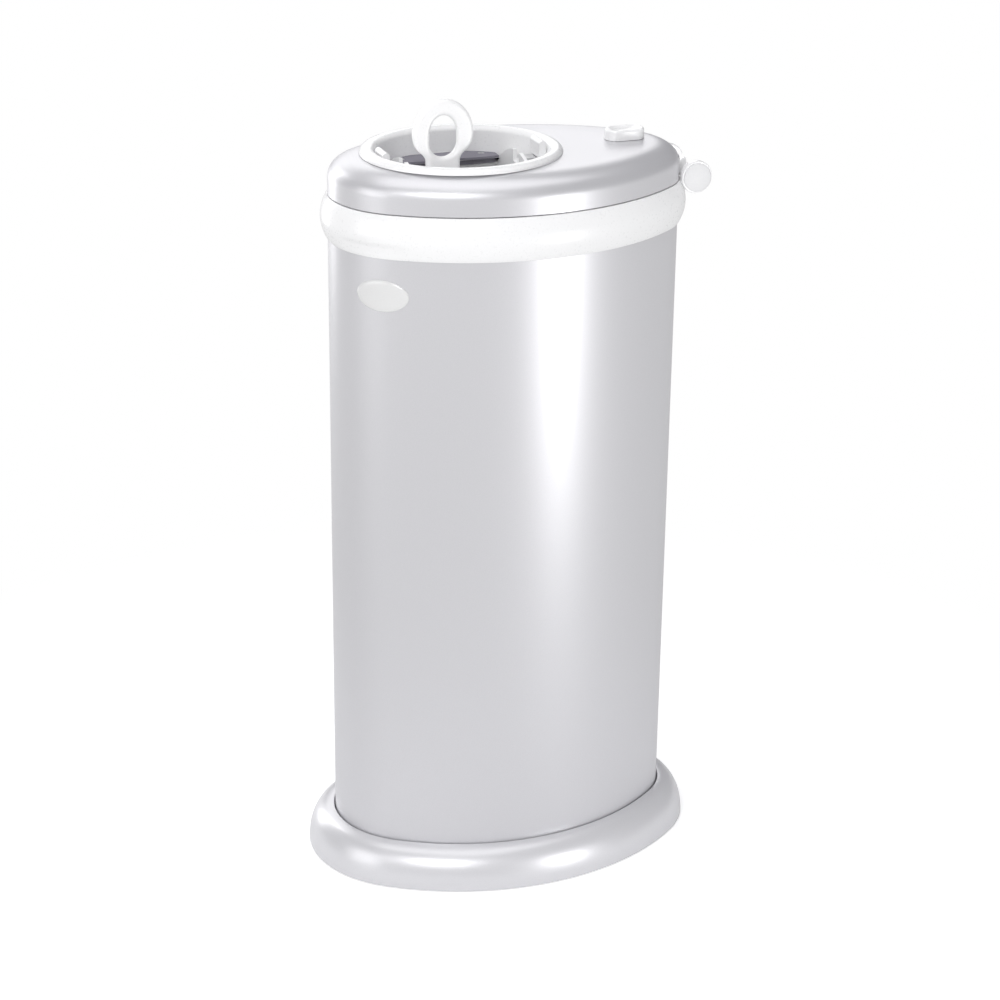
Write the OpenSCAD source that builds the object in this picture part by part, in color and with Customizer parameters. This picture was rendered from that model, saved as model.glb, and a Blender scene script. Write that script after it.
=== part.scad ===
// Nappy bin with an oval steel body, a hinged lid, a turning shutter and a lock.
// Millimetres. +Z is up, the floor is z = 0, the lid is hinged at the +Y end.

/* [Body] */
// Length of the body, front to back
body_l = 307; // [297:1:317]
// Width of the body
body_w = 197; // [191:1:203]
// Plan radius of the front end
front_round = 75; // [72:0.5:78]
// Plan radius of the hinge end
rear_round = 64; // [61:0.5:67]
// Height of the top of the collar
collar_top = 611; // [560:1:660]
// Thickness of the steel sheet
sheet = 0.8; // [0.7:0.1:1.4]

/* [Foot] */
// Height of the foot ring at the body
foot_h = 36; // [30:1:42]
// How far the foot ring stands out from the body
foot_out = 24.3; // [20:0.1:26]
// Wall of the foot ring
foot_wall = 2.5; // [2:0.1:3]
// Height of the rubber pads
pad_h = 6.5; // [6:0.5:8]
// Diameter of the rubber pads
pad_d = 20; // [14:1:22]
// Pads on each side
pad_pairs = 3; // [2:1:4]

/* [Collar] */
// Height of the collar band
collar_h = 37; // [33:1:42]
// How far the band bulges from the body
collar_out = 6.5; // [5:0.1:7]
// Depth of the finger lift in the band
lift_deep = 2.6; // [1.5:0.1:3]
// Length of the finger lift
lift_l = 54; // [40:1:60]

/* [Badge] */
// Width of the badge
badge_w = 47; // [40:1:50]
// Height of the badge
badge_h = 27; // [22:1:30]
// Height of the badge's centre below the collar's top
badge_drop = 69; // [60:1:90]
// Turn of the badge and the lift from the front, about the front end's centre
badge_turn = 49; // [44:1:52]

/* [Lid] */
// Height of the lid's edge wall and rounding
lid_edge = 30; // [28:0.5:32]
// Rise of the lid from its edge rounding to the flat middle
lid_crown = 2; // [1:0.5:2.5]
// Radius of the lid's edge rounding
lid_round = 14; // [12:0.5:15]
// Gap between the collar and the lid's edge
lid_gap = 0.8; // [0.6:0.1:1.2]
// How far the lid opens
lid_swing = 95; // [90:1:95]

/* [Hinge] */
// Distance from the body's end to the hinge pin
pin_back = 8; // [7.8:0.1:8.4]
// Height of the hinge pin over the collar's top
pin_up = 2; // [1.6:0.1:2.4]
// Radius of the hinge pin
pin_r = 2.5; // [2:0.1:2.8]
// Radius of the hinge ears
ear_r = 14; // [12.5:0.1:14.2]
// Thickness of a hinge ear
ear_w = 6; // [5:0.5:8]
// Free width between the ears
ear_gap = 56; // [55:0.5:60]

/* [Trim and chute] */
// Length of the trim ring
trim_l = 172; // [168:1:174]
// Width of the trim ring
trim_w = 158; // [156:0.5:160]
// Plan radius of the trim ring's ends
trim_round = 75; // [73:0.5:77]
// Width of the trim ring's rounded rim
trim_rim = 13; // [11:0.5:14]
// Height of the rim's crest over the lid
trim_high = 5; // [3:0.5:5.5]
// Place of the trim ring's centre, from the body's centre
trim_y = -40; // [-41:0.5:-39]

/* [Shutter] */
// Outer radius of the shutter
drum_r = 60; // [58:0.5:61]
// Length of the shutter
drum_l = 104; // [96:1:106]
// Wall of the shutter
drum_wall = 2.5; // [2:0.1:3]
// How far the shutter turns
drum_swing = 62; // [58:1:62]
// Radius of the shutter's pivots
pivot_r = 5; // [4:0.5:7]
// Radial running clearance of pins and pivots
run_gap = 0.06; // [0.03:0.01:0.1]

/* [Handle] */
// Width of the ring handle
ring_w = 52; // [46:1:53]
// Height of the ring handle's top over the lid
ring_top = 60; // [56:1:64]
// Thickness of the handle
ring_t = 8; // [6:0.5:8]
// Width of the finger hole
hole_w = 31; // [26:1:33]
// Width of the neck
neck_w = 34; // [30:1:36]
// Place of the handle along the shutter, from its middle
ring_y = -30; // [-31:1:-20]
// Place of the handle's near face across the shutter
ring_x = 37; // [36:0.5:38]

/* [Lock] */
// Length of the knob
knob_l = 35; // [30:1:38]
// Width of the knob
knob_w = 20; // [16:1:22]
// Height of the knob
knob_h = 9; // [7:0.5:11]
// Travel of the lock
lock_travel = 6; // [5:0.5:7]
// Place of the knob, from the body's centre
knob_y = 107; // [104:1:109]

/* [Hidden] */

steel = [0.78, 0.78, 0.80];
white = [0.95, 0.95, 0.95];
grey = [0.55, 0.54, 0.60];
metal = [0.70, 0.70, 0.72];
dark = [0.25, 0.25, 0.27];

half_l = body_l / 2;
half_w = body_w / 2;
lid_low = collar_top + lid_gap;
lid_side = collar_top + lid_edge;
lid_top = lid_side + lid_crown;
lid_flat = -40;               // plan offset at which the lid becomes flat
liner_z = collar_top + 2.6;
well_z = lid_top - 19;        // top of the chute's plate
plate_t = 2.5;
drum_z = lid_top - drum_r - 3.5;
house_in = drum_r + 1.5;
house_out = house_in + 2.5;
house_l = drum_l + 1;
slot_w = 95;
pin_y = half_l + pin_back;
pin_z = collar_top + pin_up;
collar_low = collar_top - collar_h;
shell_low = pad_h + 2.5;
shell_top = collar_low + 7;
collar_in = -6;
cheek_t = 3;
wiper_t = 4;
open_edge = 66;               // angle of the shutter's edge when it is open
drum_span = 88;
trim_in = -trim_rim;
trim_skin = 2.5;
knob_z = lid_top + 0.3;
bolt_z = lid_top - 13;
bolt_w = 12;
bolt_t = 4;
step = 6;                     // steps on a rounding
arc_steps = 16;               // steps on each arc of a plan

// Plans: length, width, end radius at -Y, end radius at +Y
BODY = [body_l, body_w, front_round, rear_round];
TRIM = [trim_l, trim_w, trim_round, trim_round];

// The four tangent arcs of an oval plan: centre x, y, radius, first angle, turn
function arcs(p) = let (
    yf = p[0] / 2 - p[2], yr = p[0] / 2 - p[3],
    af = 1 / (p[1] / 2 - p[2]), ar = 1 / (p[1] / 2 - p[3]),
    b = 2 * (af * yf + ar * yr),
    c = af * yf * yf - ar * yr * yr + p[2] - p[3],
    ys = -2 * c / (b + sqrt(b * b - 4 * (af - ar) * c)),
    rs = (p[2] + p[1] / 2 + (ys + yf) * (ys + yf) * af) / 2,
    xs = rs - p[1] / 2,
    tf = atan2(ys + yf, xs), tr = atan2(yr - ys, xs))
    [[0, -yf, p[2], 180 + tf, 180 - 2 * tf], [-xs, ys, rs, -tf, tf + tr],
     [0, yr, p[3], tr, 180 - 2 * tr], [xs, ys, rs, 180 - tr, tf + tr]];

// Points of the plan, moved out by u
function plan(p, u) = [for (a = arcs(p), i = [0 : arc_steps - 1])
    let (t = a[3] + a[4] * i / arc_steps)
    [a[0] + (a[2] + u) * cos(t), a[1] + (a[2] + u) * sin(t)]];

function rings(p, prof) = [for (q = prof) for (v = plan(p, q[0])) [v[0], v[1], q[1]]];
function band(a, b, n) = [for (i = [0 : n - 1])
    [a * n + i, b * n + i, b * n + (i + 1) % n, a * n + (i + 1) % n]];

// A closed profile of [offset, height] points swept around a plan
module loop(p, prof) {
    n = 4 * arc_steps;
    m = len(prof);
    polyhedron(rings(p, prof), [for (j = [0 : m - 1]) for (f = band(j, (j + 1) % m, n)) f]);
}

// A solid whose plan at each height of the profile is moved out by its offset
module stack(p, prof) {
    n = 4 * arc_steps;
    m = len(prof);
    polyhedron(rings(p, prof), concat(
        [for (j = [0 : m - 2]) for (f = band(j, j + 1, n)) f],
        [[for (i = [0 : n - 1]) i], [for (i = [n - 1 : -1 : 0]) (m - 1) * n + i]]));
}

// A full plate out to offset u, and a wall between two offsets
module plate(p, u, z0, z1) { translate([0, 0, z0]) linear_extrude(z1 - z0) polygon(plan(p, u)); }
module wall(p, u0, u1, z0, z1) {
    translate([0, 0, z0]) linear_extrude(z1 - z0) difference() {
        polygon(plan(p, u1));
        polygon(plan(p, u0));
    }
}
module at_trim() { translate([0, trim_y, 0]) children(); }

module x_rod(r, x0, x1, y, z) {
    translate([x0, y, z]) rotate([0, 90, 0]) cylinder(r = r, h = x1 - x0, $fn = 48);
}
module y_rod(r, y0, y1, x, z) {
    translate([x, y1, z]) rotate([90, 0, 0]) cylinder(r = r, h = y1 - y0, $fn = 72);
}
module upright(r, z0, z1) { translate([0, 0, z0]) cylinder(r = r, h = z1 - z0, $fn = 32); }

// Places of the pads, and of the floor screws half way between them
module under_spots(first, last) {
    for (s = [-1, 1], i = [first : last]) {
        y = (i / (pad_pairs - 1) - 0.5) * 2 * (half_l - 42);
        x = half_w * sqrt(1 - pow(y / half_l, 2)) - 13 - 6.9 * abs(y) / half_l;
        translate([s * x, y, 0]) children();
    }
}
module pad_spots() { under_spots(0, pad_pairs - 1) children(); }
module screw_spots() { under_spots(0.5, pad_pairs - 1.5) children(); }

// ---- bin ----

function foot_curve(u, z, du, dz) =
    [for (i = [0 : step]) [u + du * cos(90 * i / step), z + dz * sin(90 * i / step)]];

function foot_back(c) = [for (i = [len(c) - 1 : -1 : 0]) c[i]];

module foot_ring() color(steel) difference() {
    union() {
        loop(BODY, concat([[foot_out, 0.8]], foot_curve(2, 4, foot_out - 2, foot_h - 4),
            [[0.25, foot_h], [0.25, foot_h - 6]],
            foot_back(foot_curve(2, 4, foot_out - 2 - foot_wall, foot_h - 4 - foot_wall)),
            [[foot_out - foot_wall, 0.8]]));
        wall(BODY, 0.25, 2.75, pad_h, foot_h - 3);
        wall(BODY, -24, 2.75, pad_h, shell_low);
    }
    screw_spots() upright(2.3, 0, 20);
}

module foot_pads() color(dark) pad_spots() difference() {
    union() {
        upright(pad_d / 2, 1, pad_h);
        upright(pad_d / 2 - 1.5, 0, 1);
    }
    upright(3, -1, 2.5);
}

module floor_pan() color(steel) difference() {
    union() {
        plate(BODY, -sheet, shell_low, shell_low + sheet);
        wall(BODY, -2 * sheet, -sheet, shell_low, shell_low + 16);
        wall(BODY, -52, -46, shell_low, shell_low + 3);
        screw_spots() upright(5, shell_low, shell_low + 6);
    }
    screw_spots() upright(2.1, 0, shell_low + 4.5);
}

module foot_screws() color(metal) screw_spots() difference() {
    union() {
        upright(4, pad_h - 2.4, pad_h);
        upright(2, pad_h - 1, shell_low + 4);
    }
    translate([0, 0, pad_h - 3]) cylinder(r = 1.6, h = 1.8, $fn = 6);
}

module body_shell() color(steel) {
    wall(BODY, -sheet, 0, shell_low, shell_top);
    wall(BODY, -2.1, -sheet, shell_top - 1.4, shell_top);
}

function band_curve(n) =
    [for (i = [0 : n]) [0.8 + (collar_out - 0.8) * pow(sin(180 * i / n), 0.8),
                        collar_low + collar_h * i / n]];

// Direction and place on the front end at the badge's turn
module at_badge() {
    translate([0, -(half_l - front_round), 0]) rotate([0, 0, badge_turn]) children();
}

module collar() color(white) difference() {
    union() {
        loop(BODY, concat(band_curve(10),
            [[collar_in, collar_top], [collar_in, collar_top - 12],
             [-4.2, collar_top - 20], [-4.2, collar_low - 12],
             [-2.3, collar_low - 12], [-2.3, shell_top + 0.2],
             [0.2, shell_top + 0.2], [0.2, collar_low]]));
        for (s = [-1, 1]) difference() {
            x_rod(ear_r, s > 0 ? ear_gap / 2 : -ear_gap / 2 - ear_w,
                  s > 0 ? ear_gap / 2 + ear_w : -ear_gap / 2, pin_y, pin_z);
            plate(BODY, 0.4, collar_low, lid_top);
        }
    }
    x_rod(8, -ear_gap / 2, ear_gap / 2, pin_y, pin_z);
    x_rod(pin_r + run_gap, -ear_gap / 2 - ear_w - 1, ear_gap / 2 + ear_w + 1, pin_y, pin_z);
    // finger lift: a long shallow scoop low in the band
    at_badge() translate([0, -front_round - collar_out - 9.5 + lift_deep, collar_low + 10.5])
        rotate([0, 90, 0]) translate([0, 0, -lift_l / 2])
            cylinder(r = 9.5, h = lift_l, $fn = 64);
}

module badge() color(white) intersection() {
    wall(BODY, 0.02, 1.5, collar_top - badge_drop - badge_h, collar_top - badge_drop + badge_h);
    at_badge() translate([0, -front_round + 20, collar_top - badge_drop])
        rotate([90, 0, 0]) scale([badge_w / badge_h, 1, 1])
            cylinder(r = badge_h / 2, h = 60, $fn = 64);
}

module hinge_caps() color(white) for (s = [-1, 1])
    x_rod(ear_r - 1.5, s > 0 ? ear_gap / 2 + ear_w : -ear_gap / 2 - ear_w - 1.6,
          s > 0 ? ear_gap / 2 + ear_w + 1.6 : -ear_gap / 2 - ear_w, pin_y, pin_z);

module hinge_pin() color(metal)
    x_rod(pin_r, -ear_gap / 2 - ear_w + 0.2, ear_gap / 2 + ear_w - 0.2, pin_y, pin_z);

// ---- lid ----

// Outer face of the lid, moved in by t
function lid_curve(t) = concat(
    [[-t, lid_low]],
    [for (i = [0 : step]) [-lid_round + (lid_round - t) * cos(90 * i / step),
                           lid_side - lid_round + (lid_round - t) * sin(90 * i / step)]],
    [[lid_flat, lid_top - t]]);

module lid_shell() color(steel) difference() {
    stack(BODY, lid_curve(0));
    stack(BODY, concat([[-sheet, lid_low - 1]], lid_curve(sheet)));
    at_trim() plate(TRIM, -5, lid_low, lid_top + 1);
    slot_hole(5.2, lid_top - 4, lid_top + 1);
    arm_holes(2.1);
}

// A slot for the lock's stem
module slot_hole(r, z0, z1) {
    for (y = [0, -lock_travel]) translate([0, knob_y + y, 0]) upright(r, z0, z1);
    translate([-r, knob_y - lock_travel, z0]) cube([2 * r, lock_travel, z1 - z0]);
}

module arm_holes(r) {
    for (x = [-14, 14]) y_rod(r, half_l - 20, half_l + 3, x, pin_z + 9.5);
}

module lid_liner() color(white) difference() {
    union() {
        plate(BODY, -sheet - 0.4, liner_z, liner_z + 1.8);
        wall(BODY, -sheet - 2.2, -sheet - 0.4, liner_z, lid_side - lid_round);
    }
    translate([-house_out - 1, trim_y - house_l / 2 - 4, liner_z - 1])
        cube([2 * house_out + 2, house_l + 8, 4]);
    arm_holes(3.6);
}

module lid_seal() color(grey) wall(BODY, -5.5, -1.6, collar_top + 0.3, liner_z);

module hinge_arm() color(white) difference() {
    union() {
        x_rod(6.5, -ear_gap / 2 + 0.4, ear_gap / 2 - 0.4, pin_y, pin_z);
        difference() {
            translate([-24, half_l - 12, pin_z + 2]) cube([48, 13.5, 14]);
            plate(BODY, 0.02, lid_low - 2, lid_top);
        }
        translate([-24, half_l + 0.6, pin_z + 0.5]) cube([48, pin_back, 6]);
    }
    x_rod(pin_r + run_gap, -ear_gap, ear_gap, pin_y, pin_z);
    arm_holes(1.6);
}

module arm_screws() color(metal) for (x = [-14, 14]) {
    y_rod(1.55, half_l - 6.9, half_l + 1, x, pin_z + 9.5);
    y_rod(3, half_l - 8.9, half_l - 6.9, x, pin_z + 9.5);
}

function rim_curve() = [for (i = [0 : 2 * step])
    [-trim_rim / 2 + trim_rim / 2 * cos(90 * i / step),
     lid_top + 0.3 + (trim_high - 0.3) * sin(90 * i / step)]];

module trim_ring() color(white) difference() {
    at_trim() loop(TRIM, concat([[0, lid_top + 0.02]], rim_curve(),
        [[-trim_rim, well_z], [-trim_rim + trim_skin, well_z],
         [-trim_rim + trim_skin, lid_top + 0.02]]));
    // door for the lock's bolt
    translate([-bolt_w / 2 - 0.6, trim_y + trim_l / 2 - trim_rim - 4, bolt_z - 0.5])
        cube([bolt_w + 1.2, 10, bolt_t + 1]);
}

// Small saddles on the rim over the two pivots
module trim_clips() color(white) for (s = [-1, 1])
    translate([0, trim_y + s * (trim_l / 2 - trim_rim - 4.2), 0]) difference() {
        union() {
            translate([-11, -3, well_z]) cube([22, 6, lid_top + trim_high - well_z - 2]);
            x_rod(3, -11, 11, 0, lid_top + trim_high - 2);
        }
        translate([-bolt_w / 2 - 0.6, -4, bolt_z - 0.5]) cube([bolt_w + 1.2, 8, bolt_t + 1]);
    }

module trim_plan() { at_trim() plate(TRIM, trim_in + trim_skin, well_z - plate_t, well_z); }

// An arc of tube along the shutter's axis, between two angles from +X to +Z
module tube_arc(r0, r1, a0, a1, l) {
    translate([0, trim_y + l / 2, drum_z]) rotate([90, 0, 0]) rotate([0, 0, a0])
        rotate_extrude(angle = a1 - a0, $fn = 120)
            translate([r0, 0]) square([r1 - r0, l]);
}

module chute() color(white) {
    rise = well_z - plate_t - drum_z;
    top = asin((rise - 3) / house_out);
    low_top = asin((rise - wiper_t - 0.3) / house_out);
    difference() {
        union() {
            difference() {
                trim_plan();
                translate([-slot_w / 2, trim_y - house_l / 2 + 0.25, well_z - plate_t - 1])
                    cube([slot_w, house_l - 0.5, plate_t + 2]);
            }
            for (s = [0, 1])
                tube_arc(house_in, house_out - 0.2, s == 0 ? -48 : 180 - low_top,
                         s == 0 ? top : 228, house_l + 2);
            difference() {
                translate([slot_w / 2 + 0.3, trim_y - house_l / 2 - 1.5, drum_z + 30])
                    cube([9, house_l + 3, rise - 29]);
                y_rod(house_in + 0.6, trim_y - house_l, trim_y + house_l, 0, drum_z);
            }
            for (s = [-1, 1]) difference() {
                translate([0, trim_y + s * (house_l / 2 + 1.25), drum_z]) rotate([90, 0, 0])
                    translate([0, 0, -1.25]) cylinder(r = house_out, h = 2.5, $fn = 120);
                translate([-80, trim_y + s * house_l / 2 - 10, drum_z + rise + 1])
                    cube([160, 20, 60]);
                translate([-80, trim_y + s * house_l / 2 - 10, drum_z - 110]) cube([160, 20, 62]);
            }
        }
        y_rod(pivot_r + run_gap, trim_y - house_l, trim_y + house_l, 0, drum_z);
        chute_spots() upright(1.8, well_z - plate_t - 2, well_z + 1);
    }
}

module chute_spots() {
    for (x = [-52, 52], y = [-36, 36]) translate([x, trim_y + y, 0]) children();
}

module chute_screws() color(metal) chute_spots() difference() {
    union() {
        upright(1.7, well_z - plate_t + 0.2, well_z + 0.5);
        upright(3, well_z + 0.02, well_z + 1.8);
    }
    translate([0, 0, well_z + 1]) cylinder(r = 1.2, h = 2, $fn = 6);
}

// A rubber blade with a gently waved tip, from x0 to x1 on one side
module blade(x0, x1, l, wave) {
    n = 24;
    polygon(concat([[x0, -l / 2]],
        [for (i = [0 : n]) [x1 + wave * sin(540 * i / n) * (i > 12 ? 1 : 0.4),
                            -l / 2 + l * i / n]],
        [[x0, l / 2]]));
}

// A blade lying on the chute's plate, inside the trim ring
module ledge_blade(x0, x1, l, wave) difference() {
    intersection() {
        translate([0, trim_y, well_z]) linear_extrude(2) blade(x0, x1, l, wave);
        at_trim() plate(TRIM, trim_in - 0.2, well_z - 1, well_z + 3);
    }
    chute_spots() upright(3.3, well_z - 1, well_z + 3);
}

module far_wiper() color(grey) ledge_blade(-62, -39.5, 96, 1.2);

module near_wiper() color(grey) ledge_blade(62, 47.5, 92, 0.6);

module lower_wiper() color(grey)
    translate([0, trim_y, well_z - plate_t - wiper_t])
        linear_extrude(wiper_t) blade(-60, -48.6, 96, 0.7);

// ---- shutter ----

// Places of the two screws that hold the ring handle
module handle_spots() {
    for (s = [-1, 1]) translate([ring_x + ring_t / 2, trim_y + ring_y + s * 9, drum_z]) children();
}

module shutter() color(white) difference() {
    union() {
        tube_arc(drum_r - drum_wall, drum_r, open_edge - drum_span, open_edge,
                 drum_l - 2 * cheek_t);
        tube_arc(drum_r - 7, drum_r - drum_wall, open_edge - 3, open_edge, drum_l - 2 * cheek_t);
    }
    handle_spots() upright(1.7, 30, 60);
}

module shutter_cheeks() color(white) for (s = [-1, 1]) difference() {
    y0 = trim_y + s * (drum_l / 2 - cheek_t / 2);
    y_rod(drum_r, y0 - cheek_t / 2, y0 + cheek_t / 2, 0, drum_z);
    y_rod(pivot_r, y0 - 5, y0 + 5, 0, drum_z);
    // notches for the lock's bolt, shutter open and shutter closed
    for (a = [0, drum_swing]) translate([0, y0, drum_z]) rotate([0, a, 0])
        translate([-bolt_w / 2 - 0.7, -3, bolt_z - drum_z - 0.7]) cube([bolt_w + 1.4, 6, 20]);
}

module pivot_pins() color(metal) for (s = [-1, 1]) {
    a = trim_y + s * (drum_l / 2 - cheek_t);
    b = trim_y + s * (house_l / 2 + 3.5);
    y_rod(pivot_r, min(a, b), max(a, b), 0, drum_z);
    y_rod(pivot_r + 2, min(a, a - s * 2), max(a, a - s * 2), 0, drum_z);
}

module ring_handle() color(white) {
    ring_z = lid_top + ring_top - ring_w / 2;
    foot_z = drum_z + 40;
    difference() {
        translate([ring_x, trim_y + ring_y, 0]) union() {
            translate([0, 0, ring_z]) rotate([0, 90, 0]) cylinder(r = ring_w / 2, h = ring_t, $fn = 96);
            translate([0, -neck_w / 2, foot_z]) cube([ring_t, neck_w, ring_z - foot_z - 15]);
        }
        for (s = [-1, 1]) translate([ring_x - 1, trim_y + ring_y, ring_z + s * 1.5])
            rotate([0, 90, 0]) cylinder(r = hole_w / 2, h = ring_t + 2, $fn = 96);
        handle_spots() upright(1.5, 40, 52);
        y_rod(drum_r + 0.02, trim_y + ring_y - neck_w, trim_y + ring_y + neck_w, 0, drum_z);
    }
}

module handle_screws() color(metal) handle_spots() {
    top = sqrt(pow(drum_r - drum_wall, 2) - pow(ring_x + ring_t / 2 + 3, 2)) - 0.1;
    upright(1.45, top - 1, 51);
    upright(2.8, top - 1.6, top);
}

// ---- lock ----

module pill(l, w, z0, z1) {
    for (s = [-1, 1]) translate([0, s * (l - w) / 2, 0]) upright(w / 2, z0, z1);
    translate([-w / 2, -(l - w) / 2, z0]) cube([w, l - w, z1 - z0]);
}

module lock_knob() color(white) translate([0, knob_y, 0]) difference() {
    union() {
        pill(knob_l, knob_w, knob_z, knob_z + knob_h - 1.5);
        pill(knob_l - 2, knob_w - 2, knob_z + knob_h - 1.5, knob_z + knob_h);
        upright(4.8, bolt_z + bolt_t, knob_z + 1);
    }
    // finger groove across the top
    translate([-knob_w, 0, knob_z + knob_h + 5]) rotate([0, 90, 0])
        cylinder(r = 7, h = 2 * knob_w, $fn = 48);
    upright(1.6, bolt_z, knob_z + 4);
}

module lock_bolt() color(metal) {
    tip = trim_y + drum_l / 2 + 2;
    difference() {
        translate([-bolt_w / 2, tip, bolt_z]) cube([bolt_w, knob_y + 10 - tip, bolt_t]);
        translate([0, knob_y, 0]) upright(1.65, bolt_z - 1, bolt_z + bolt_t + 1);
    }
}

module lock_screw() color(metal) translate([0, knob_y, 0]) difference() {
    union() {
        upright(1.55, bolt_z - 1, knob_z + 3);
        upright(3.2, bolt_z - 2, bolt_z);
    }
    translate([0, 0, bolt_z - 3]) cylinder(r = 1.2, h = 2, $fn = 6);
}

// Channel under the lid in which the bolt slides
module lock_guide() color(white) {
    w = bolt_w + 0.8;
    translate([0, 72, 0]) difference() {
        translate([-w / 2 - 5, -14, bolt_z - 2.5])
            cube([w + 10, 28, lid_top - sheet - bolt_z + 2.5]);
        translate([-w / 2, -15, bolt_z - 0.3]) cube([w, 30, bolt_t + 0.7]);
    }
}

foot_ring();
foot_pads();
floor_pan();
foot_screws();
body_shell();
collar();
badge();
hinge_caps();
hinge_pin();
lid_shell();
lid_liner();
lid_seal();
hinge_arm();
arm_screws();
trim_ring();
trim_clips();
chute();
chute_screws();
far_wiper();
near_wiper();
lower_wiper();
shutter();
shutter_cheeks();
pivot_pins();
ring_handle();
handle_screws();
lock_knob();
lock_bolt();
lock_screw();
lock_guide();
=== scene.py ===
"""Oval steel nappy bin with a hinged lid, on a pale floor."""

from math import atan2, cos, pi, radians, sin, sqrt

import bpy
import bmesh
from mathutils import Matrix, Vector


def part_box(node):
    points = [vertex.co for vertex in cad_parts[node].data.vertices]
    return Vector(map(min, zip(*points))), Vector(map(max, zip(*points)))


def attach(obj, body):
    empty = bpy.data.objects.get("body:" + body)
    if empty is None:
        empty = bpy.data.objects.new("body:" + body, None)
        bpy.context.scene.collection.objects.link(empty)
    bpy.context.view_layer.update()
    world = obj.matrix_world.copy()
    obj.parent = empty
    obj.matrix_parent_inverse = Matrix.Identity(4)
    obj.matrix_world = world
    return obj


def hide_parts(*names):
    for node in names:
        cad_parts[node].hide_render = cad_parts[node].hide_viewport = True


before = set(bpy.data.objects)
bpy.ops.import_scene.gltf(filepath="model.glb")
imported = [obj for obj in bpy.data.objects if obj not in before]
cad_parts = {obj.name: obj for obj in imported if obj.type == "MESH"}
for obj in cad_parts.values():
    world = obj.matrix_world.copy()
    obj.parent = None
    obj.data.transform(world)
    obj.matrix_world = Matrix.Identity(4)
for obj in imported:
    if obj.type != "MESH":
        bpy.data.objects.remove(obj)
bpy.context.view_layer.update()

# ---------------------------------------------------------------- sizes, in millimetres

MM = 0.001


def middle(node, axis):
    """Middle of a CAD node's box along an axis."""
    lo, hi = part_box(node)
    return (lo[axis] + hi[axis]) / 2 / MM


# Oval plans: length, width, end radius at the front and at the hinge end
BODY = (307.0, 197.0, 75.0, 64.0)
TRIM = (172.0, 158.0, 75.0, 75.0)

# Offsets here are from the body's plan, and heights from the floor
FOOT_OUT = 24.1
FOOT_ROUND_IN, FOOT_ROUND_LOW, FOOT_ROUND_RISE = 2.4, 3.6, 32.4
FOOT_EDGE_LOW, FOOT_INSIDE = 0.9, 21.8

SHEET_LOW, SHEET_TOP, SHEET_THICK = 9.2, 581.0, 0.8

BAND_LOW, BAND_TOP = 574.0, 611.0
BAND_OUT, BAND_BULGE = 0.8, 5.7

# The finger lift: angle from the front, top, half length, height and depth
LIFT_TURN = radians(43)
LIFT_TOP, LIFT_HALF, LIFT_HIGH, LIFT_DEEP = 606.0, 29.0, 14.0, 2.4

EAR_Y, EAR_Z, EAR_R = 161.5, 613.0, 14.0
EAR_IN, EAR_OUT = 28.0, 34.0
PIN_ROOM = 8.0
ARM_SCREW_X, ARM_SCREW_Z, ARM_SCREW_R = 14.0, 622.5, 2.1

# The badge: length along the body from the front, middle height, half length, half height
BADGE_S, BADGE_Z = radians(49) * BODY[2], middle("badge", 2)
BADGE_HALF, BADGE_RISE = 23.5, 13.5

LID_LOW, LID_SIDE, LID_TOP = 611.8, 624.5, 643.0
LID_ROUND_IN, LID_ROUND_RISE = 26.0, 18.1
LID_THICK = 0.8

TRIM_Y = middle("trim_ring", 1)
TRIM_RIM_IN, TRIM_RIM_RISE = 6.5, 4.7
WELL_LOW, WELL_IN = 624.0, 13.0

LOCK_X, LOCK_Y = middle("lock_knob", 0), middle("lock_knob", 1)
LOCK_TRAVEL, LOCK_SLOT_R = 6.0, 5.2

RING_X, RING_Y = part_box("ring_handle")[0].x / MM, middle("ring_handle", 1)
RING_HALF, RING_RISE, RING_DROP, RING_THICK = 26.0, 29.0, 26.0, 8.0
# The photograph's ring ends this much lower than the CAD's
RING_LOWER = 4.0
RING_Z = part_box("ring_handle")[1].z / MM - RING_LOWER - RING_RISE
RING_ROUND = 3.7
DRUM_R, DRUM_Z = 59.9, 579.5

KNOB_LOW = LID_TOP + 0.35
KNOB_R, KNOB_HALF = 10.0, 17.5

# ---------------------------------------------------------------- plans


def arcs(p):
    """The four tangent arcs of an oval plan: centre x, y, radius, first angle, turn."""
    yf, yr = p[0] / 2 - p[2], p[0] / 2 - p[3]
    af, ar = 1 / (p[1] / 2 - p[2]), 1 / (p[1] / 2 - p[3])
    b = 2 * (af * yf + ar * yr)
    c = af * yf * yf - ar * yr * yr + p[2] - p[3]
    ys = -2 * c / (b + sqrt(b * b - 4 * (af - ar) * c))
    rs = (p[2] + p[1] / 2 + (ys + yf) ** 2 * af) / 2
    xs = rs - p[1] / 2
    tf, tr = atan2(ys + yf, xs), atan2(yr - ys, xs)
    return [
        (0, -yf, p[2], pi + tf, pi - 2 * tf),
        (-xs, ys, rs, -tf, tf + tr),
        (0, yr, p[3], tr, pi - 2 * tr),
        (xs, ys, rs, pi - tr, tf + tr),
    ]


def plan(p, n):
    """(x, y, normal x, normal y) round an oval plan, with n points on each arc."""
    out = []
    for x, y, r, t0, turn in arcs(p):
        for i in range(n):
            t = t0 + turn * i / n
            out.append((x + r * cos(t), y + r * sin(t), cos(t), sin(t)))
    return out


def plan_at(p, s):
    """Point and normal at a length s along the plan from the front, towards +X."""
    front, side = arcs(p)[0], arcs(p)[1]
    half = front[2] * front[4] / 2
    if s < half:
        x, y, r, t = front[0], front[1], front[2], -pi / 2 + s / front[2]
    else:
        x, y, r, t = side[0], side[1], side[2], side[3] + (s - half) / side[2]
    return x + r * cos(t), y + r * sin(t), cos(t), sin(t)


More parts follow.
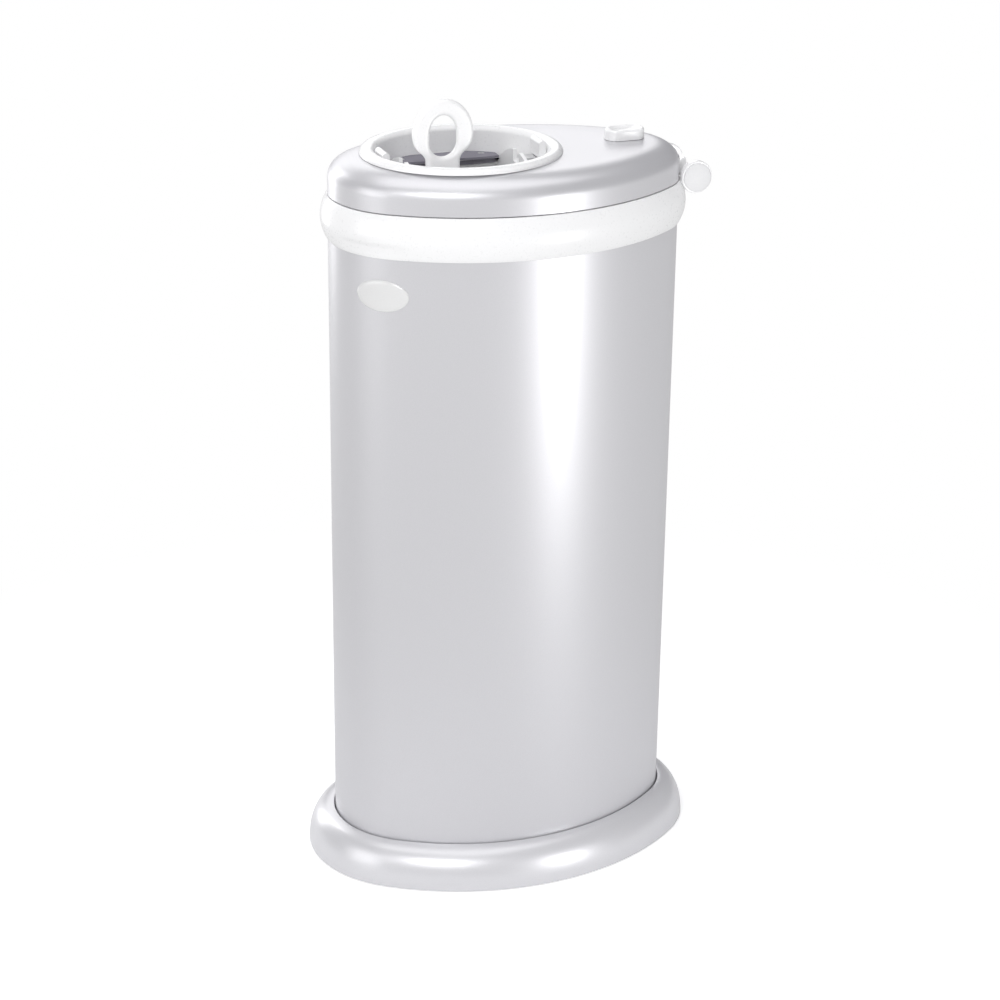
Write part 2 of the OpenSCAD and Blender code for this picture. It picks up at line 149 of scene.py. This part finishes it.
def quarter(u, z, du, dz, n, power=1.0):
    """Points from (u + du, z) to (u, z + dz) on a quarter of an ellipse."""
    return [
        (u + du * cos(pi / 2 * i / n) ** power, z + dz * sin(pi / 2 * i / n) ** power)
        for i in range(n + 1)
    ]


# ---------------------------------------------------------------- meshes


def piece(name, verts, faces, sharp=32):
    """A mesh object from millimetre points, smooth up to the sharp angle in degrees."""
    me = bpy.data.meshes.new(name)
    me.from_pydata([(x * MM, y * MM, z * MM) for x, y, z in verts], [], faces)
    bm = bmesh.new()
    bm.from_mesh(me)
    bmesh.ops.recalc_face_normals(bm, faces=bm.faces)
    bm.to_mesh(me)
    bm.free()
    ob = bpy.data.objects.new(name, me)
    bpy.context.scene.collection.objects.link(ob)
    smooth(ob, sharp)
    return ob


def smooth(ob, sharp):
    """Smooth shading with edges sharper than the angle kept hard."""
    ob.data.polygons.foreach_set("use_smooth", [True] * len(ob.data.polygons))
    ob.data.set_sharp_from_angle(angle=radians(sharp))
    ob.data.update()


def loop(name, p, prof, n, shape=None):
    """A closed profile of (offset, height) points swept round a plan.
    shape(x, y, u, z) may give each point another offset and height."""
    ring = plan(p, n)
    verts = []
    for u, z in prof:
        for x, y, a, b in ring:
            v, w = shape(x, y, u, z) if shape else (u, z)
            verts.append((x + a * v, y + b * v, w))
    m, k = len(ring), len(prof)
    faces = [
        (j * m + i, (j + 1) % k * m + i, (j + 1) % k * m + (i + 1) % m, j * m + (i + 1) % m)
        for j in range(k)
        for i in range(m)
    ]
    return piece(name, verts, faces)


def stack(name, p, prof, n):
    """A solid whose plan at each height of the profile is moved out by its offset."""
    ring = plan(p, n)
    verts = [(x + a * u, y + b * u, z) for u, z in prof for x, y, a, b in ring]
    m, k = len(ring), len(prof)
    faces = [
        (j * m + i, (j + 1) * m + i, (j + 1) * m + (i + 1) % m, j * m + (i + 1) % m)
        for j in range(k - 1)
        for i in range(m)
    ]
    faces += [tuple(range(m)), tuple((k - 1) * m + i for i in range(m))]
    return piece(name, verts, faces)


def lathe(name, prof, at, n=72):
    """A profile of (radius, height) points turned about an axis; at maps
    (a, b, height) to a point. Ends with a radius of 0 close to a point."""
    verts, rows = [], []
    for r, h in prof:
        if r == 0:
            rows.append([len(verts)] * n)
            verts.append(at(0, 0, h))
        else:
            rows.append(list(range(len(verts), len(verts) + n)))
            verts += [at(r * cos(2 * pi * i / n), r * sin(2 * pi * i / n), h) for i in range(n)]
    faces = []
    for a, b in zip(rows, rows[1:]):
        for i in range(n):
            f = [a[i], a[(i + 1) % n], b[(i + 1) % n], b[i]]
            f = [v for j, v in enumerate(f) if v not in f[:j]]
            if len(f) > 2:
                faces.append(tuple(f))
    return piece(name, verts, faces)


def prism(name, outline, z0, z1):
    """An outline of (x, y) points raised from z0 to z1."""
    m = len(outline)
    verts = [(x, y, z0) for x, y in outline] + [(x, y, z1) for x, y in outline]
    faces = [(i, (i + 1) % m, m + (i + 1) % m, m + i) for i in range(m)]
    return piece(name, verts, faces + [tuple(range(m)), tuple(range(m, 2 * m))])


def rod(name, r, lo, hi, axis, n=64):
    """A round bar between two points that differ along one axis only."""
    at = {
        "x": lambda a, b, h: (h, lo[1] + a, lo[2] + b),
        "y": lambda a, b, h: (lo[0] + a, h, lo[2] + b),
        "z": lambda a, b, h: (lo[0] + a, lo[1] + b, h),
    }[axis]
    i = "xyz".index(axis)
    return lathe(name, [(0, lo[i]), (r, lo[i]), (r, hi[i]), (0, hi[i])], at, n)


def apply(ob):
    """Makes an object's modifiers part of its mesh."""
    dg = bpy.context.evaluated_depsgraph_get()
    me = bpy.data.meshes.new_from_object(ob.evaluated_get(dg))
    ob.modifiers.clear()
    ob.data = me
    return ob


def cut(ob, tools, operation="DIFFERENCE", sharp=32):
    """Cuts the tools from an object, or joins them to it, and removes them."""
    for tool in tools:
        m = ob.modifiers.new("cut", "BOOLEAN")
        m.operation = operation
        m.solver = "EXACT"
        m.object = tool
    apply(ob)
    smooth(ob, sharp)
    for tool in tools:
        bpy.data.objects.remove(tool)
    return ob


def even(ob):
    """Weights the shading towards the large faces, so that flats stay flat."""
    m = ob.modifiers.new("even", "WEIGHTED_NORMAL")
    m.keep_sharp = True
    return apply(ob)


# ---------------------------------------------------------------- materials


def node(nt, kind, **values):
    """A shader node with inputs set by name; _ stands for a space in the name."""
    made = nt.nodes.new("ShaderNode" + kind)
    for name, value in values.items():
        made.inputs[name.replace("_", " ")].default_value = value
    return made


def mixed(nt, a, b, fac):
    """A colour between a and b by the factor socket."""
    m = node(nt, "Mix")
    m.data_type = "RGBA"
    m.inputs[6].default_value = (*a, 1)
    m.inputs[7].default_value = (*b, 1)
    nt.links.new(fac, m.inputs[0])
    return m.outputs[2]


def finish(name, dark, light, rough, metallic, scale, bump, coat=0.0, coat_rough=0.1,
           stretch=(1, 1, 1)):
    """A shader whose colour, roughness and surface vary with fine noise."""
    mat = bpy.data.materials.new(name)
    mat.use_nodes = True
    nt = mat.node_tree
    bsdf = nt.nodes["Principled BSDF"]
    bsdf.inputs["Metallic"].default_value = metallic
    bsdf.inputs["Coat Weight"].default_value = coat
    bsdf.inputs["Coat Roughness"].default_value = coat_rough
    where = node(nt, "TexCoord")
    spread = node(nt, "Mapping", Scale=stretch)
    fine = node(nt, "TexNoise", Scale=scale, Detail=3)
    vary = node(nt, "MapRange", To_Min=rough * 0.92, To_Max=min(1.0, rough * 1.08))
    uneven = node(nt, "Bump", Strength=bump, Distance=0.0004)
    nt.links.new(where.outputs["Object"], spread.inputs["Vector"])
    nt.links.new(spread.outputs["Vector"], fine.inputs["Vector"])
    nt.links.new(mixed(nt, dark, light, fine.outputs["Fac"]), bsdf.inputs["Base Color"])
    nt.links.new(fine.outputs["Fac"], vary.inputs["Value"])
    nt.links.new(vary.outputs["Result"], bsdf.inputs["Roughness"])
    nt.links.new(fine.outputs["Fac"], uneven.inputs["Height"])
    nt.links.new(uneven.outputs["Normal"], bsdf.inputs["Normal"])
    return mat


# Name, two colours, roughness, metallic, noise scale, bump, coat, coat roughness
SLOTS = {
    "silver_steel": finish("silver_paint", (0.62, 0.617, 0.64), (0.70, 0.697, 0.72),
                           0.38, 0.45, 1500, 0.03, 0.15, 0.25),
    "silver_plastic": finish("silver_moulding", (0.68, 0.678, 0.70), (0.75, 0.747, 0.77),
                             0.34, 0.3, 1200, 0.03, 0.2, 0.2),
    "white_plastic": finish("white_gloss", (0.87, 0.87, 0.875), (0.90, 0.90, 0.905),
                            0.28, 0, 500, 0.01, 0.3, 0.12),
    "white_badge": finish("white_enamel", (0.71, 0.71, 0.71), (0.75, 0.75, 0.75),
                          0.2, 0, 700, 0.01, 0.5, 0.08),
    # The hinge caps' light grey is painted shade: the ears' white plastic as it looks turned
    # away from the lamps.
    "grey_cap": finish("grey_cap", (0.72, 0.72, 0.73), (0.77, 0.77, 0.78),
                       0.4, 0, 600, 0.02),
    "grey_rubber": finish("violet_grey_rubber", (0.20, 0.19, 0.23), (0.27, 0.26, 0.30),
                          0.6, 0, 900, 0.1),
    "black_rubber": finish("black_rubber", (0.015, 0.015, 0.016), (0.035, 0.035, 0.036),
                           0.75, 0, 700, 0.2),
    "bright_steel": finish("bright_steel", (0.55, 0.55, 0.56), (0.70, 0.70, 0.71),
                           0.3, 1.0, 700, 0.05, stretch=(1, 1, 8)),
}
WHITE_INNER = finish("white_moulding", (0.86, 0.86, 0.87), (0.89, 0.89, 0.895),
                     0.42, 0, 500, 0.02)


def paint(ob, slot, mat=None):
    """Gives an object the finish of its slot, or a finish of its own in that slot."""
    ob.data.materials.clear()
    ob.data.materials.append(mat or SLOTS[slot])


def place(ob, body, slot, *stands_for):
    """Gives a piece its finish, its body and the CAD nodes that it stands for."""
    paint(ob, slot)
    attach(ob, body)
    if stands_for:
        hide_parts(*stands_for)


# ---------------------------------------------------------------- bin


def make_foot():
    """The flared foot, hollow below, with a thin lip round the body."""
    reach = FOOT_OUT - FOOT_ROUND_IN
    outside = [(FOOT_OUT, FOOT_EDGE_LOW)]
    outside += quarter(FOOT_ROUND_IN, FOOT_ROUND_LOW, reach, FOOT_ROUND_RISE, 20)
    lip = [(1.7, 36.0), (1.2, 35.6), (1.1, 35.0), (1.1, 30.0), (0.3, 29.0), (0.3, 9.0)]
    ledge = [(-24.0, 9.0), (-24.0, 6.5), (2.75, 6.5)]
    hollow = quarter(2.75, 4.0, 19.0, 29.0, 14)[::-1]
    hollow.append((FOOT_INSIDE, FOOT_EDGE_LOW))
    place(loop("foot", BODY, outside + lip + ledge + hollow, 56),
          "bin", "silver_plastic", "foot_ring")


def make_body():
    """The rolled steel sheet, turned in at its top."""
    inside = -SHEET_THICK
    prof = [(0, SHEET_LOW), (0, SHEET_TOP - 0.2), (-0.3, SHEET_TOP), (-1.9, SHEET_TOP),
            (-2.1, SHEET_TOP - 0.2), (-2.1, SHEET_TOP - 1.2), (inside, SHEET_TOP - 1.4),
            (inside, SHEET_LOW)]
    place(loop("body_sheet", BODY, prof, 64), "bin", "silver_steel", "body_shell")


def bulge(k, n):
    """Offset and height of point k of n on the band's outer face."""
    out = BAND_OUT + BAND_BULGE * max(0.0, sin(pi * k / n)) ** 0.8
    return out, BAND_LOW + (BAND_TOP - BAND_LOW) * k / n


def lift(x, y, u, z):
    """Presses the finger lift into the lower half of the band."""
    if u <= BAND_OUT or z > LIFT_TOP:
        return u, z
    front_y = -(BODY[0] / 2 - BODY[2])
    side = (atan2(x, -(y - front_y)) - LIFT_TURN) * BODY[2] / LIFT_HALF
    along = max(0.0, 1 - side * side) ** 0.6 if abs(side) < 1 else 0.0
    up = (z - BAND_LOW) / LIFT_HIGH
    across = max(0.0, min(1.0, (1.0 - up) / 0.28)) * min(1.0, 0.35 + up)
    return u - LIFT_DEEP * along * across * min(1.0, (u - BAND_OUT) / 3), z


def on_pin(a, b, h):
    """A point beside the hinge pin, with h along X."""
    return h, EAR_Y + a, EAR_Z + b


def make_ear(side):
    """One round ear of the hinge, on the +X or the -X side."""
    a, b = sorted((EAR_IN * side, EAR_OUT * side))
    prof = [(0, a), (EAR_R - 1.0, a), (EAR_R - 0.3, a + 0.3), (EAR_R, a + 1.0),
            (EAR_R, b - 1.0), (EAR_R - 0.3, b - 0.3), (EAR_R - 1.0, b), (0, b)]
    return lathe("ear", prof, on_pin)


def make_collar():
    """The moulded band with the finger lift, room for the hinge arm, and two ears."""
    outside = [bulge(k, 36) for k in range(37)]
    inside = [(0.4, BAND_TOP), (-5.6, BAND_TOP), (-6.0, 610.6), (-6.0, 599.0), (-4.2, 591.0),
              (-4.2, 562.0), (-2.3, 562.0), (-2.3, 581.2), (0.2, 581.2), (0.2, BAND_LOW)]
    collar = loop("collar", BODY, outside + inside, 72, lift)
    reach = EAR_IN - 0.1
    ears = [make_ear(side) for side in (-1, 1)]
    cut(collar, [rod("hollow", PIN_ROOM, (-reach, EAR_Y, EAR_Z), (reach, EAR_Y, EAR_Z), "x")])
    cut(collar, ears, "UNION")
    place(even(collar), "bin", "white_plastic", "collar")


def make_caps():
    """A shallow round cap on the outer face of each ear, in a light grey that is painted shade
    on the white hinge.
    """
    cap = [(0, 33.9), (12.5, 33.9), (12.5, 34.9), (12.1, 35.3), (11.0, 35.55), (0, 35.6)]
    near = lathe("hinge_cap_near", cap, on_pin)
    place(near, "bin", "grey_cap", "hinge_caps")
    far = lathe("hinge_cap_far", [(r, -h) for r, h in cap], on_pin)
    place(far, "bin", "grey_cap")


def make_badge():
    """A bare domed oval that follows the curve of the body."""
    n = 96
    # Share of the oval, height off the body
    dome = [(0.0, 1.5), (0.3, 1.5), (0.6, 1.48), (0.8, 1.42), (0.88, 1.3), (0.94, 1.02),
            (0.985, 0.6), (1.0, 0.3), (1.0, 0.03)]
    verts, rows = [], []
    for r, u in dome:
        rows.append(len(verts))
        for i in range(n if r else 1):
            t = 2 * pi * i / n
            x, y, a, b = plan_at(BODY, BADGE_S + r * BADGE_HALF * cos(t))
            verts.append((x + a * u, y + b * u, BADGE_Z + r * BADGE_RISE * sin(t)))
    faces = [(0, 1 + i, 1 + (i + 1) % n) for i in range(n)]
    for a, b in zip(rows[1:], rows[2:]):
        faces += [(a + i, b + i, b + (i + 1) % n, a + (i + 1) % n) for i in range(n)]
    place(piece("badge_oval", verts, faces, 50), "bin", "white_badge", "badge")


make_foot()
make_body()
make_collar()
make_caps()
make_badge()

# ---------------------------------------------------------------- lid


def lid_curve(t):
    """The lid's outer profile, or with t its profile at that depth."""
    edge = quarter(-LID_ROUND_IN, LID_SIDE, LID_ROUND_IN - t, LID_ROUND_RISE - t, 22, 0.92)
    return [(-t, LID_LOW)] + edge + [(-34, LID_TOP - t - 0.12), (-42, LID_TOP - t)]


def slot_outline():
    """The long hole that the knob's stem slides in."""
    ends = []
    for turn, y in ((0, LOCK_Y), (pi, LOCK_Y - LOCK_TRAVEL)):
        for k in range(33):
            t = turn + pi * k / 32
            ends.append((LOCK_X + LOCK_SLOT_R * cos(t), y + LOCK_SLOT_R * sin(t)))
    return ends


def make_lid():
    """The steel pressing, with holes for the trim ring, the lock and the arm's screws."""
    lid = stack("lid", BODY, lid_curve(0), 64)
    inner = stack("inner", BODY, [(-LID_THICK, LID_LOW - 1)] + lid_curve(LID_THICK), 64)
    around = [(x - a * 5, y - b * 5 + TRIM_Y) for x, y, a, b in plan(TRIM, 40)]
    tools = [inner, prism("hole", around, LID_LOW, LID_TOP + 1),
             prism("slot_cut", slot_outline(), LID_TOP - 4, LID_TOP + 1)]
    for x in (-ARM_SCREW_X, ARM_SCREW_X):
        ends = (x, 133.5, ARM_SCREW_Z), (x, 156.5, ARM_SCREW_Z)
        tools.append(rod("arm_cut", ARM_SCREW_R, *ends, "y", 32))
    cut(lid, tools)
    place(even(lid), "lid", "silver_steel", "lid_shell")


def make_trim():
    """The white ring with its well, and the door that the bolt passes through."""
    rim = []
    for k in range(25):
        t = pi * k / 24
        rim.append((-TRIM_RIM_IN + TRIM_RIM_IN * cos(t),
                    LID_TOP + 0.3 + TRIM_RIM_RISE * sin(t) ** 0.9))
    well = [(-WELL_IN, WELL_LOW), (2.5 - WELL_IN, WELL_LOW), (2.5 - WELL_IN, LID_TOP + 0.05)]
    trim = loop("trim", TRIM, [(0, LID_TOP + 0.05)] + rim + well, 56)
    trim.data.transform(Matrix.Translation((0, TRIM_Y * MM, 0)))
    corners = (-6.6, 68), (6.6, 68), (6.6, 80), (-6.6, 80)
    door = prism("door", [(LOCK_X + x, TRIM_Y + y) for x, y in corners], 629.5, 634.5)
    cut(trim, [door])
    place(even(trim), "lid", "white_plastic", "trim_ring")


make_lid()
make_trim()

# ---------------------------------------------------------------- handle


def ring_outline():
    """Half outline of the handle, from its top down to the neck: (half width, z)."""
    tail = radians(14)
    pts = []
    for k in range(27):
        t = pi / 2 - k * (pi / 2 + tail) / 26
        pts.append((RING_HALF * cos(t), RING_Z + (RING_RISE if t > 0 else RING_DROP) * sin(t)))
    # A curve from the ring's side to the neck, set by its ends and their directions
    x0, z0 = pts[-1]
    x1, z1 = 14.6, 648.0
    h = 16.0
    dx, dz = -sin(tail), -cos(tail)
    for k in range(1, 13):
        f = k / 12
        a = (2 * f**3 - 3 * f**2 + 1, f**3 - 2 * f**2 + f, -2 * f**3 + 3 * f**2, f**3 - f**2)
        pts.append((a[0] * x0 + a[1] * h * 1.6 * dx + a[2] * x1 + a[3] * h * -0.12,
                    a[0] * z0 + a[1] * h * 1.6 * dz + a[2] * z1 + a[3] * h * -1.2))
    return pts + [(14.5, 640.0), (14.5, 612.0)]


def ring_hole():
    """Outline of the finger hole, longer below than above."""
    pts = []
    for turn, z, rise in ((0, RING_Z, 15.5), (pi, RING_Z - 7, 12)):
        for k in range(33):
            t = turn + pi * k / 32
            pts.append((11.8 * cos(t), z + rise * sin(t)))
    return pts


def make_ring():
    """The ring handle: a rounded plate that stands on the drum."""
    half = ring_outline()
    outer = half + [(-w, z) for w, z in half[::-1]][:-1]
    flat = bpy.data.curves.new("ring_curve", "CURVE")
    flat.dimensions = "2D"
    flat.fill_mode = "BOTH"
    for pts in (outer, ring_hole()):
        sp = flat.splines.new("POLY")
        sp.points.add(len(pts) - 1)
        for q, (w, z) in zip(sp.points, pts):
            q.co = (w * MM, z * MM, 0, 1)
        sp.use_cyclic_u = True
    flat.extrude = (RING_THICK / 2 - RING_ROUND) * MM
    flat.bevel_depth = RING_ROUND * MM
    flat.bevel_resolution = 6
    flat.offset = -RING_ROUND * MM
    holder = bpy.data.objects.new("ring_curve", flat)
    bpy.context.scene.collection.objects.link(holder)
    holder.matrix_world = Matrix((
        (0, 0, 1, (RING_X + RING_THICK / 2) * MM),
        (1, 0, 0, RING_Y * MM),
        (0, 1, 0, 0),
        (0, 0, 0, 1),
    ))
    bpy.context.view_layer.update()
    dg = bpy.context.evaluated_depsgraph_get()
    me = bpy.data.meshes.new_from_object(holder.evaluated_get(dg))
    me.transform(holder.matrix_world)
    bpy.data.objects.remove(holder)
    ring = bpy.data.objects.new("ring_pull", me)
    bpy.context.scene.collection.objects.link(ring)
    bm = bmesh.new()
    bm.from_mesh(me)
    bmesh.ops.remove_doubles(bm, verts=bm.verts, dist=1e-6)
    bmesh.ops.recalc_face_normals(bm, faces=bm.faces)
    bm.to_mesh(me)
    bm.free()
    ends = (0, RING_Y - 40, DRUM_Z), (0, RING_Y + 40, DRUM_Z)
    cut(ring, [rod("drum", DRUM_R, *ends, "y", 120)], sharp=40)
    place(even(ring), "shutter_group", "white_plastic", "ring_handle")


make_ring()

# ---------------------------------------------------------------- lock knob


def knob_row(f, h, dished, n):
    """One row of the knob: its oval at the share f of its size, at height h."""
    row = []
    for i in range(n):
        t = 2 * pi * i / n
        x, y = cos(t) * KNOB_R, sin(t) * KNOB_R
        y += (KNOB_HALF - KNOB_R) * max(-1.0, min(1.0, sin(t) * 3))
        y = max(-KNOB_HALF, min(KNOB_HALF, y))
        x, y = x * f, y * (1 - (1 - f) * KNOB_R / KNOB_HALF * 1.4)
        dip = 0
        if dished:
            dip = 2.4 * max(0.0, 1 - (y / 13.0) ** 2) * max(0.0, 1 - (f / 0.86) ** 4)
        row.append((LOCK_X + x, LOCK_Y + y, KNOB_LOW + h - dip))
    return row


def make_knob():
    """The lock's knob, with a dish for the finger, a stem and a bore for its screw."""
    n = 96
    # Share of the outline, height, and whether the row is in the dish
    shape = [(1.0, 0.0, False), (1.0, 7.0, False), (0.985, 8.0, False), (0.95, 8.65, False),
             (0.89, 8.95, False), (0.82, 8.9, True), (0.72, 8.75, True), (0.6, 8.75, True),
             (0.45, 8.75, True), (0.3, 8.75, True), (0.15, 8.75, True)]
    verts = [v for f, h, dished in shape for v in knob_row(f, h, dished, n)]
    rows = [n * j for j in range(len(shape))]
    faces = [tuple(range(n))]
    for a, b in zip(rows, rows[1:]):
        faces += [(a + i, b + i, b + (i + 1) % n, a + (i + 1) % n) for i in range(n)]
    faces.append(tuple(rows[-1] + i for i in range(n)))
    knob = piece("knob", verts, faces, 40)
    stem = rod("knob_stem", 4.8, (LOCK_X, LOCK_Y, 634.0), (LOCK_X, LOCK_Y, 645.0), "z")
    cut(knob, [stem], "UNION", 40)
    bore = rod("knob_bore", 1.6, (LOCK_X, LOCK_Y, 630.0), (LOCK_X, LOCK_Y, 647.3), "z", 32)
    cut(knob, [bore], sharp=40)
    place(even(knob), "lock_group", "white_plastic", "lock_knob")


make_knob()

# ---------------------------------------------------------------- CAD nodes shown as they are

SHOWN = {
    "black_rubber": ["foot_pads"],
    "silver_steel": ["floor_pan"],
    "bright_steel": ["foot_screws", "hinge_pin", "arm_screws", "chute_screws", "pivot_pins",
                     "handle_screws", "lock_bolt", "lock_screw"],
    "white_plastic": ["lid_liner", "hinge_arm", "trim_clips", "chute", "shutter",
                      "shutter_cheeks", "lock_guide"],
    "grey_rubber": ["lid_seal", "far_wiper", "near_wiper", "lower_wiper"],
}
INNER = ("chute", "lid_liner", "shutter_cheeks")
for slot, names in SHOWN.items():
    for name in names:
        paint(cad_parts[name], slot, WHITE_INNER if name in INNER else None)

# ---------------------------------------------------------------- floor and world


def make_floor():
    """A pale floor with the object's shadow near it, white further off."""
    bpy.ops.mesh.primitive_plane_add(size=60)
    floor = bpy.context.object
    floor.name = "floor"
    mat = bpy.data.materials.new("floor")
    mat.use_nodes = True
    nt = mat.node_tree
    nt.nodes.clear()
    out = node(nt, "OutputMaterial")
    coord = node(nt, "TexCoord")
    path = node(nt, "LightPath")
    grain = node(nt, "TexNoise", Scale=3)
    diffuse = node(nt, "BsdfDiffuse")
    near_glow = node(nt, "Emission", Color=(1, 1, 1, 1))
    far_glow = node(nt, "Emission", Color=(1, 1, 1, 1))
    near_strength = node(nt, "MapRange", To_Min=0.0, To_Max=0.36)
    far_strength = node(nt, "MapRange", To_Min=0.7, To_Max=1.0)
    away = node(nt, "VectorMath")
    away.operation = "LENGTH"
    fade = node(nt, "MapRange", From_Min=0.25, From_Max=0.75)
    fade.interpolation_type = "SMOOTHSTEP"
    near = node(nt, "AddShader")
    both = node(nt, "MixShader")
    nt.links.new(coord.outputs["Object"], grain.inputs["Vector"])
    nt.links.new(mixed(nt, (0.88, 0.88, 0.885), (0.89, 0.89, 0.895), grain.outputs["Fac"]),
                 diffuse.inputs["Color"])
    for strength, glow in ((near_strength, near_glow), (far_strength, far_glow)):
        nt.links.new(path.outputs["Is Camera Ray"], strength.inputs["Value"])
        nt.links.new(strength.outputs["Result"], glow.inputs["Strength"])
    nt.links.new(coord.outputs["Object"], away.inputs[0])
    nt.links.new(away.outputs["Value"], fade.inputs["Value"])
    nt.links.new(diffuse.outputs[0], near.inputs[0])
    nt.links.new(near_glow.outputs[0], near.inputs[1])
    nt.links.new(fade.outputs["Result"], both.inputs[0])
    nt.links.new(near.outputs[0], both.inputs[1])
    nt.links.new(far_glow.outputs[0], both.inputs[2])
    nt.links.new(both.outputs[0], out.inputs["Surface"])
    floor.data.materials.append(mat)


def make_world():
    """White to the camera, and dimmer in reflections and as soft light."""
    world = bpy.data.worlds.new("studio")
    bpy.context.scene.world = world
    world.use_nodes = True
    nt = world.node_tree
    nt.nodes.clear()
    out = node(nt, "OutputWorld")
    ray = node(nt, "LightPath")
    seen = node(nt, "Background", Color=(1, 1, 1, 1), Strength=1.0)
    soft = node(nt, "Background", Color=(0.97, 0.97, 1.0, 1), Strength=0.26)
    shine = node(nt, "Background", Color=(0.95, 0.945, 1.0, 1), Strength=0.26)
    unseen = node(nt, "MixShader")
    either = node(nt, "MixShader")
    nt.links.new(ray.outputs["Is Glossy Ray"], unseen.inputs[0])
    nt.links.new(soft.outputs[0], unseen.inputs[1])
    nt.links.new(shine.outputs[0], unseen.inputs[2])
    nt.links.new(ray.outputs["Is Camera Ray"], either.inputs[0])
    nt.links.new(unseen.outputs[0], either.inputs[1])
    nt.links.new(seen.outputs[0], either.inputs[2])
    nt.links.new(either.outputs[0], out.inputs["Surface"])


make_floor()
make_world()

# ---------------------------------------------------------------- lamps and camera, in metres


def lamp(name, at, target_z, wide, high, power):
    """A rectangular lamp aimed at a height on the object's axis."""
    data = bpy.data.lights.new(name, "AREA")
    data.shape = "RECTANGLE"
    data.size = wide
    data.size_y = high
    data.energy = power
    ob = bpy.data.objects.new(name, data)
    bpy.context.scene.collection.objects.link(ob)
    ob.location = at
    ob.rotation_mode = "QUATERNION"
    ob.rotation_quaternion = (Vector((0, 0, target_z)) - Vector(at)).to_track_quat("-Z", "Y")


def round_to(azimuth, distance, height):
    """A point round the object: 0 degrees is before the front, 90 before the +X side."""
    a = radians(azimuth)
    return sin(a) * distance, -cos(a) * distance, height


def make_camera(azimuth, elevation, roll, lens, offset):
    """The camera that was fitted to the photograph; offset is the origin in its axes."""
    right = Vector((cos(azimuth), sin(azimuth), 0))
    back = Vector((sin(azimuth) * cos(elevation), -cos(azimuth) * cos(elevation),
                   sin(elevation)))
    up = back.cross(right)
    data = bpy.data.cameras.new("camera")
    data.sensor_width = 36
    data.lens = lens
    data.clip_start = 0.1
    data.clip_end = 100
    camera = bpy.data.objects.new("camera", data)
    bpy.context.scene.collection.objects.link(camera)
    turn = Matrix((right * cos(roll) - up * sin(roll), right * sin(roll) + up * cos(roll),
                   back)).transposed()
    camera.matrix_world = Matrix.Translation(-(turn @ offset)) @ turn.to_4x4()
    bpy.context.scene.camera = camera


lamp("key", round_to(119, 1.3, 0.25), 0.2, 0.24, 0.5, 4.6)
lamp("top", (0.1, -0.1, 2.2), 0.5, 1.8, 1.8, 16)
lamp("fill", round_to(62, 2.3, 1.6), 0.4, 1.0, 0.8, 23)
lamp("front", round_to(15, 2.4, 0.8), 0.3, 1.4, 1.4, 13)
lamp("left", round_to(-60, 1.8, 0.8), 0.35, 0.5, 1.6, 11)
lamp("behind", round_to(262, 2.2, 1.6), 0.6, 2.0, 1.2, 13)

make_camera(radians(70.0), radians(22.1962), radians(-0.7256), 93.6615,
            Vector((-0.0024412, -0.2991947, -2.4284116)))
bpy.context.scene.view_settings.view_transform = "Standard"

bpy.context.view_layer.update()
